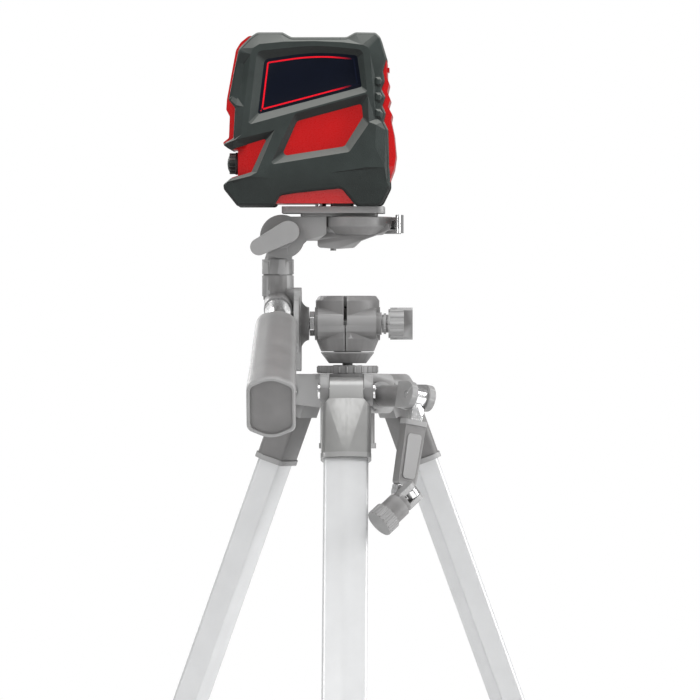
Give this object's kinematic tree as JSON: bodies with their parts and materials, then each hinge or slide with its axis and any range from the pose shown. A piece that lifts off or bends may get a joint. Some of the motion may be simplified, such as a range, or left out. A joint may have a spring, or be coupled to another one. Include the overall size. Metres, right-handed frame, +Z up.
{
  "type": "cross-line laser level on tripod",
  "caption": "Compact self-levelling line laser on a folding tripod with a crank column, brace, three-way head and side-tilting platform.",
  "frame": {"origin": "centre of the tripod's footprint at floor level", "axes": "+Z up; -Y towards the front leg, the pan handle and the viewer of the picture; the laser's window faces -X"},
  "size_m": [0.3456, 0.3026, 0.5771],
  "materials": {
    "grey_casting": "satin moulded plastic, faded warm grey",
    "silver_casting": "metallic grey painted plastic",
    "leg_alloy": "satin anodised aluminium",
    "bright_steel": "bright plated steel",
    "foot_rubber": "soft grey rubber",
    "bumper_rubber": "fine-textured dark grey rubber",
    "red_shell": "red moulded plastic",
    "label_film": "navy printed film with a fine red border",
    "window": "clear glass",
    "black_plastic": "black knurled plastic",
    "battery": "plain wrapped cells",
    "brass": "turned brass",
    "zinc": "die-cast zinc",
    "board": "green circuit board"
  },
  "bodies": {
    "stand": {"crown": "grey_casting", "leg_bolts": "bright_steel", "guide_tube": "leg_alloy", "guide_cap": "grey_casting"},
    "collar": {"brace_collar": "grey_casting"},
    "column": {"column_tube": "leg_alloy", "pan_base": "grey_casting"},
    "lock_ring": {"column_lock_ring": "grey_casting"},
    "crank": {"crank_pinion": "bright_steel", "crank_hub": "grey_casting"},
    "crank_arm": {"crank_tang": "bright_steel", "crank_arm": "grey_casting", "crank_yoke": "bright_steel"},
    "crank_grip": {"crank_grip": "grey_casting"},
    "pan": {"pan_drum": "grey_casting", "tilt_bolt": "bright_steel"},
    "pan_knob": {"pan_knob": "grey_casting"},
    "tilt": {"tilt_arm": "grey_casting"},
    "handle": {"handle_rod": "bright_steel", "handle_grip": "grey_casting"},
    "platform": {"platform": "grey_casting", "flip_pin": "bright_steel"},
    "wing_knob": {"wing_knob": "grey_casting"},
    "release_lever": {"release_lever": "bright_steel"},
    "laser": {"quick_plate": "grey_casting", "mount_screw": "bright_steel", "shell_near": "red_shell", "shell_far": "red_shell", "bumper_near": "bumper_rubber", "bumper_far": "bumper_rubber", "side_labels": "label_film", "window_glass": "window", "batteries": "battery", "circuit_board": "board"},
    "lock_knob": {"lock_knob": "black_plastic"},
    "battery_cover": {"battery_cover": "red_shell"},
    "gimbal": {"gimbal_ring": "brass"},
    "pendulum": {"pendulum": "zinc", "laser_modules": "brass"},
    "leg_front": {"bracket_front": "silver_casting", "upper_tube_front": "leg_alloy", "clamp_front": "grey_casting"},
    "lower_leg_front": {"lower_tube_front": "leg_alloy", "foot_front": "foot_rubber"},
    "clamp_lever_front": {"clamp_lever_front": "grey_casting"},
    "strut_front": {"strut_front": "grey_casting"},
    "leg_right": {"bracket_right": "grey_casting", "upper_tube_right": "leg_alloy", "clamp_right": "grey_casting"},
    "lower_leg_right": {"lower_tube_right": "leg_alloy", "foot_right": "foot_rubber"},
    "clamp_lever_right": {"clamp_lever_right": "grey_casting"},
    "strut_right": {"strut_right": "grey_casting"},
    "leg_left": {"bracket_left": "grey_casting", "upper_tube_left": "leg_alloy", "clamp_left": "grey_casting"},
    "lower_leg_left": {"lower_tube_left": "leg_alloy", "foot_left": "foot_rubber"},
    "clamp_lever_left": {"clamp_lever_left": "grey_casting"},
    "strut_left": {"strut_left": "grey_casting"}
  },
  "joints": [
    {"name": "leg_front_fold", "type": "hinge", "parent": "stand", "child": "leg_front", "pos_m": [0, 0.01744, 0.36955], "axis": [1, 0, 0], "range_deg": [0, 22.5]},
    {"name": "leg_front_extend", "type": "slide", "parent": "leg_front", "child": "lower_leg_front", "axis": [0, -0.3827, -0.9239], "range_m": [0, 0.24]},
    {"name": "clamp_lever_front_flip", "type": "hinge", "parent": "leg_front", "child": "clamp_lever_front", "pos_m": [0, -0.12766, 0.05948], "axis": [-1, 0, 0], "range_deg": [0, 140]},
    {"name": "strut_front_turn", "type": "hinge", "parent": "collar", "child": "strut_front", "pos_m": [0, 0.02944, 0.11362], "axis": [1, 0, 0], "range_deg": [-48, 0]},
    {"name": "leg_right_fold", "type": "hinge", "parent": "stand", "child": "leg_right", "pos_m": [0.02511, 0.06094, 0.36955], "axis": [-0.5, 0.866, 0], "range_deg": [0, 22.6]},
    {"name": "leg_right_extend", "type": "slide", "parent": "leg_right", "child": "lower_leg_right", "axis": [0.3314, 0.1913, -0.9239], "range_m": [0, 0.24]},
    {"name": "clamp_lever_right_flip", "type": "hinge", "parent": "leg_right", "child": "clamp_lever_right", "pos_m": [0.15078, 0.1335, 0.05948], "axis": [0.5, -0.866, 0], "range_deg": [0, 140]},
    {"name": "strut_right_turn", "type": "hinge", "parent": "collar", "child": "strut_right", "pos_m": [0.01472, 0.05494, 0.11362], "axis": [-0.5, 0.866, 0], "range_deg": [-48, 0]},
    {"name": "leg_left_fold", "type": "hinge", "parent": "stand", "child": "leg_left", "pos_m": [-0.02511, 0.06094, 0.36955], "axis": [-0.5, -0.866, 0], "range_deg": [0, 22.6]},
    {"name": "leg_left_extend", "type": "slide", "parent": "leg_left", "child": "lower_leg_left", "axis": [-0.3314, 0.1913, -0.9239], "range_m": [0, 0.24]},
    {"name": "clamp_lever_left_flip", "type": "hinge", "parent": "leg_left", "child": "clamp_lever_left", "pos_m": [-0.15078, 0.1335, 0.05948], "axis": [0.5, 0.866, 0], "range_deg": [0, 140]},
    {"name": "strut_left_turn", "type": "hinge", "parent": "collar", "child": "strut_left", "pos_m": [-0.01472, 0.05494, 0.11362], "axis": [-0.5, -0.866, 0], "range_deg": [-48, 0]},
    {"name": "collar_slide", "type": "slide", "parent": "stand", "child": "collar", "axis": [0, 0, 1], "range_m": [-0.064, 0]},
    {"name": "column_lift", "type": "slide", "parent": "stand", "child": "column", "axis": [0, 0, 1], "range_m": [0, 0.18]},
    {"name": "column_ring_lock", "type": "hinge", "parent": "stand", "child": "lock_ring", "pos_m": [0, 0.04644, 0.38155], "axis": [0, 0, 1], "range_deg": [0, 90]},
    {"name": "crank_turn", "type": "hinge", "parent": "stand", "child": "crank", "pos_m": [0.00779, 0.05094, 0.36655], "axis": [-0.5, 0.866, 0], "range_deg": [0, 2950]},
    {"name": "crank_fold", "type": "hinge", "parent": "crank", "child": "crank_arm", "pos_m": [0.04129, -0.00708, 0.36655], "axis": [-0.8529, -0.4924, 0.1736], "range_deg": [0, 90]},
    {"name": "crank_grip_fold", "type": "hinge", "parent": "crank_arm", "child": "crank_grip", "pos_m": [0.03812, -0.02104, 0.3114], "axis": [-0.5474, -0.316, 0.7749], "range_deg": [0, 90]},
    {"name": "head_pan", "type": "hinge", "parent": "column", "child": "pan", "pos_m": [0, 0.04644, 0.39855], "axis": [0, 0, 1], "continuous": true},
    {"name": "pan_knob_turn", "type": "hinge", "parent": "pan", "child": "pan_knob", "pos_m": [0.02, 0.03324, 0.40855], "axis": [1, 0, 0], "range_deg": [-180, 0]},
    {"name": "head_tilt", "type": "hinge", "parent": "pan", "child": "tilt", "pos_m": [-0.028, 0.04644, 0.40855], "axis": [1, 0, 0], "range_deg": [-75, 45]},
    {"name": "handle_turn", "type": "hinge", "parent": "tilt", "child": "handle", "pos_m": [-0.0402, 0.04644, 0.42155], "axis": [0, -0.9367, -0.3502], "range_deg": [-90, 0]},
    {"name": "head_flip", "type": "hinge", "parent": "tilt", "child": "platform", "pos_m": [-0.0379, 0.04644, 0.45915], "axis": [0, -1, 0], "range_deg": [0, 90]},
    {"name": "wing_knob_turn", "type": "hinge", "parent": "platform", "child": "wing_knob", "pos_m": [-0.0379, 0.02644, 0.45915], "axis": [0, -1, 0], "range_deg": [0, 90]},
    {"name": "release_lever_swing", "type": "hinge", "parent": "platform", "child": "release_lever", "pos_m": [0.028, 0.05944, 0.46655], "axis": [0, 0, 1], "range_deg": [0, 35], "stiffness_Nm_per_rad": 0.02},
    {"name": "quick_plate_lift", "type": "slide", "parent": "platform", "child": "laser", "axis": [0, 0, 1], "range_m": [0, 0.03]},
    {"name": "lock_knob_turn", "type": "hinge", "parent": "laser", "child": "lock_knob", "pos_m": [-0.067, 0.04644, 0.50165], "axis": [1, 0, 0], "range_deg": [0, 90]},
    {"name": "battery_cover_open", "type": "hinge", "parent": "laser", "child": "battery_cover", "pos_m": [0.0276, 0.04644, 0.48955], "axis": [0, 1, 0], "range_deg": [0, 80]},
    {"name": "gimbal_swing", "type": "hinge", "parent": "laser", "child": "gimbal", "pos_m": [-0.032, 0.04644, 0.55855], "axis": [1, 0, 0], "range_deg": [-4, 4]},
    {"name": "pendulum_swing", "type": "hinge", "parent": "gimbal", "child": "pendulum", "pos_m": [-0.032, 0.04644, 0.55855], "axis": [0, 1, 0], "range_deg": [-4, 4]}
  ],
  "couplings": [
    {"joint": "strut_front_turn", "follows": "leg_front_fold", "ratio": -2.1038},
    {"joint": "leg_right_fold", "follows": "leg_front_fold", "ratio": 1},
    {"joint": "strut_right_turn", "follows": "leg_front_fold", "ratio": -2.1038},
    {"joint": "leg_left_fold", "follows": "leg_front_fold", "ratio": 1},
    {"joint": "strut_left_turn", "follows": "leg_front_fold", "ratio": -2.1038},
    {"joint": "collar_slide", "follows": "leg_front_fold", "m_per_rad": -0.16095},
    {"joint": "crank_turn", "follows": "column_lift", "rad_per_m": 285.71}
  ]
}
